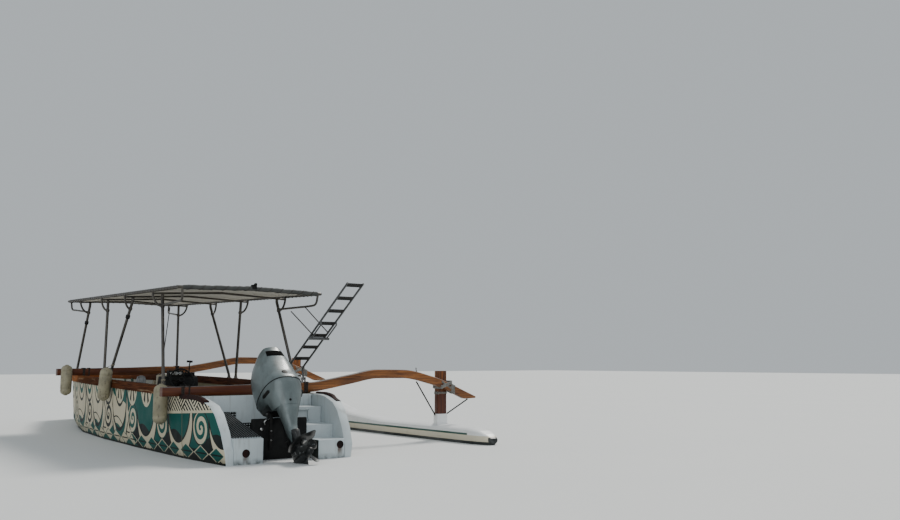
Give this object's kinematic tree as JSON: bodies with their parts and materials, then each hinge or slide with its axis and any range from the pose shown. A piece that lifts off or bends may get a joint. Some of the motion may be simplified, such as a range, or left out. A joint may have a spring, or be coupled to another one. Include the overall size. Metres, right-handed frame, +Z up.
{
  "type": "motorised outrigger canoe",
  "caption": "Long narrow open tour canoe afloat, with an outrigger float to starboard on arched cross beams, a sun canopy on poles, a tilted outboard motor and a raised boarding ladder.",
  "frame": {"origin": "on the waterline and the hull's centreline at the transom, where the water holds the boat up", "axes": "+X forward to the bow, +Y to port, +Z up; the outrigger float lies to starboard, at -Y"},
  "size_m": [11.4288, 5.6, 2.8513],
  "materials": {
    "hull_paint": "weathered painted fibreglass",
    "gelcoat": "white gelcoat, slightly chalky",
    "wood": "varnished, weathered on top",
    "steel": "dull stainless tube",
    "dark_metal": "black painted tube",
    "black_plastic": "satin black",
    "canvas": "woven awning canvas",
    "motor_paint": "light grey enamel",
    "fender": "stained vinyl",
    "cushion": "cream vinyl cloth"
  },
  "bodies": {
    "root": {"hull_bottom": "hull_paint", "hull_side_port": "hull_paint", "hull_side_starboard": "hull_paint", "bow": "hull_paint", "foredeck": "gelcoat", "rail_port": "wood", "rail_starboard": "wood", "stern_wing_port": "hull_paint", "stern_wing_starboard": "hull_paint", "stern_deck_port": "gelcoat", "stern_steps_starboard": "gelcoat", "aft_bulkhead": "gelcoat", "engine_board": "gelcoat", "iako_aft": "wood", "iako_front": "wood", "ama": "gelcoat", "ama_post_aft": "wood", "ama_post_front": "wood", "ama_brace_aft_inboard": "steel", "ama_brace_aft_outboard": "steel", "ama_brace_front_inboard": "steel", "canopy_frame": "steel", "canopy_cloth": "canvas", "canopy_pole_port_1": "steel", "canopy_pole_port_2": "steel", "canopy_pole_port_3": "steel", "canopy_pole_port_4": "steel", "canopy_pole_starboard_1": "steel", "canopy_pole_starboard_2": "steel", "canopy_pole_starboard_3": "steel", "canopy_pole_starboard_4": "steel", "console": "black_plastic", "console_seat": "cushion", "bench_port": "cushion", "bench_starboard": "cushion", "fender_1": "fender", "fender_2": "fender", "fender_3": "fender", "ladder_hinge_1": "steel", "ladder_hinge_2": "steel", "motor_clamp": "black_plastic"},
    "motor_tilting": {"motor_swivel": "black_plastic"},
    "motor": {"motor_cover": "motor_paint", "motor_apron": "motor_paint", "motor_gearcase": "black_plastic"},
    "screw": {"propeller": "steel"},
    "helm": {"steering_wheel": "black_plastic"},
    "ladder": {"ladder": "dark_metal"}
  },
  "joints": [
    {"name": "motor_tilt", "type": "hinge", "parent": "root", "child": "motor_tilting", "pos_m": [0.4, 0, 0.6], "axis": [0, 1, 0], "range_deg": [-30, 34]},
    {"name": "motor_steer", "type": "hinge", "parent": "motor_tilting", "child": "motor", "pos_m": [0.30907, 0, 0.6525], "axis": [0.5, 0, 0.866], "range_deg": [-30, 30]},
    {"name": "propeller_spin", "type": "hinge", "parent": "motor", "child": "screw", "pos_m": [-0.48381, 0, 0.16919], "axis": [0.866, 0, -0.5], "continuous": true},
    {"name": "wheel_turn", "type": "hinge", "parent": "root", "child": "helm", "pos_m": [3.56, 0.2, 1.01], "axis": [0.9063, 0, -0.4226], "range_deg": [-720, 720]},
    {"name": "ladder_swing", "type": "hinge", "parent": "root", "child": "ladder", "pos_m": [1.42, 0, 1.047], "axis": [0, -1, 0], "range_deg": [0, 56]}
  ],
  "couplings": [
    {"joint": "motor_steer", "follows": "wheel_turn", "ratio": 0.041667}
  ]
}
